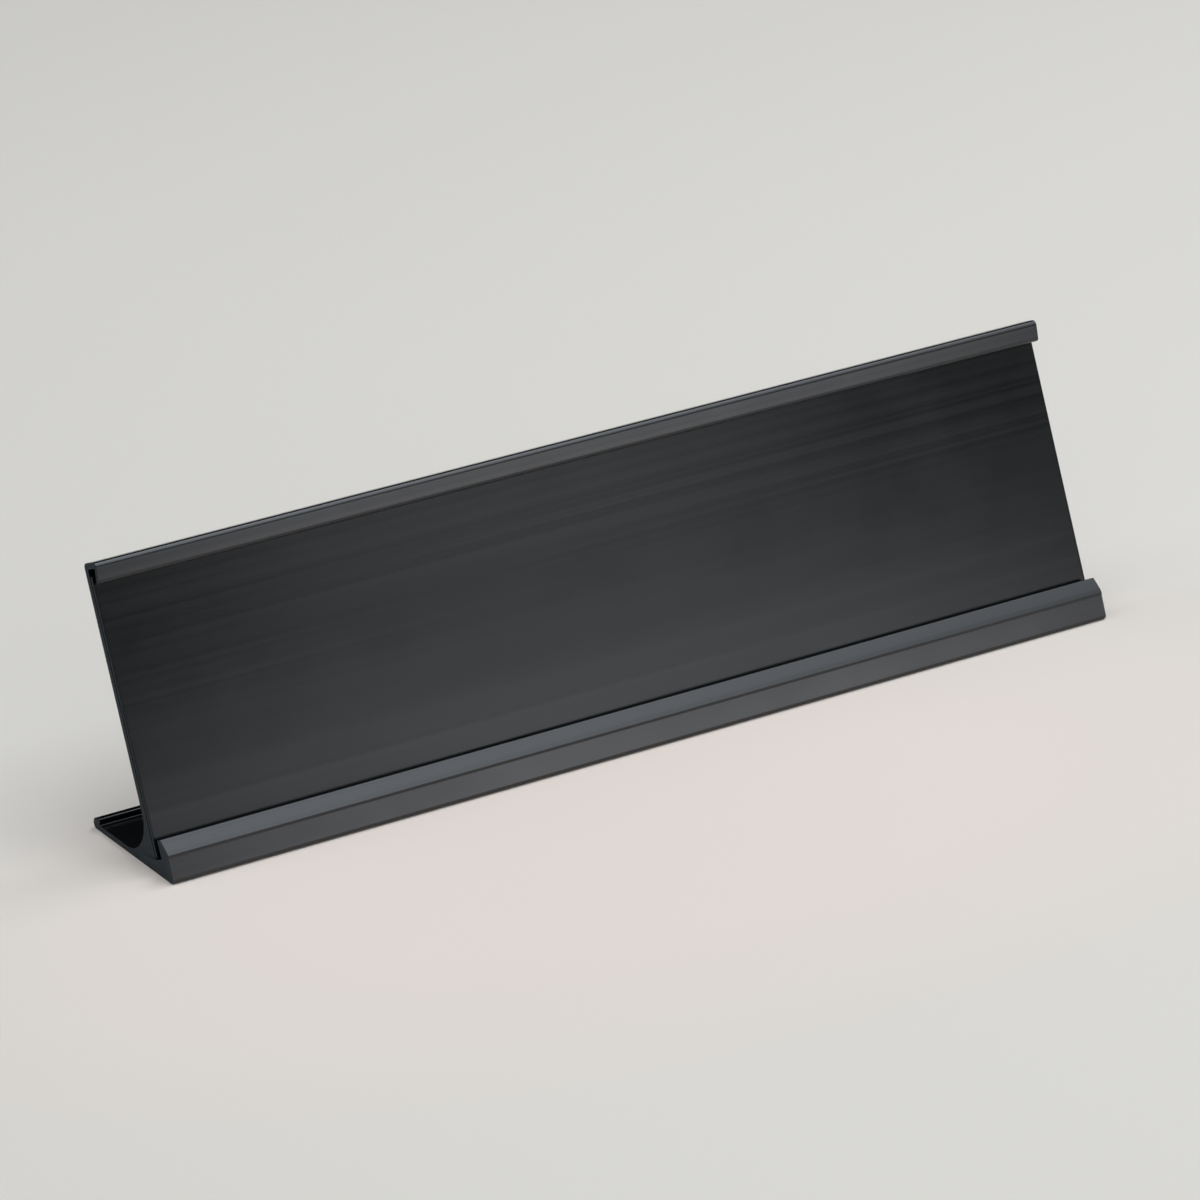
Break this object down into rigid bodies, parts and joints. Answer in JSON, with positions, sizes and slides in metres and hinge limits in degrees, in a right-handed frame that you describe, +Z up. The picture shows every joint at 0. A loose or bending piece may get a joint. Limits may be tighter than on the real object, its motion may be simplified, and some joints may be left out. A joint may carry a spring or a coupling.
{
  "type": "desk name plate",
  "caption": "Slanted desk name plate: a black anodised aluminium extrusion with an upper and a lower slot, leaning back on a flat foot, and a bare plate that slides in from either end.",
  "frame": {"origin": "on the desk under the part, in the middle of its length and of its depth", "axes": "+X along the length, to the right as the reader sees it, +Y from the reader to the back, +Z up"},
  "size_m": [0.2032, 0.0282, 0.0523],
  "materials": {
    "holder": "satin black anodised, with fine lines along the length from the extrusion die",
    "plate": "satin black anodised sheet, brushed along its length, bare"
  },
  "bodies": {
    "holder": {"holder_extrusion": "holder"},
    "plate": {"name_plate": "plate"}
  },
  "joints": [
    {"name": "plate_slide", "type": "slide", "parent": "holder", "child": "plate", "axis": [1, 0, 0], "range_m": [-0.1781, 0.1781]}
  ]
}
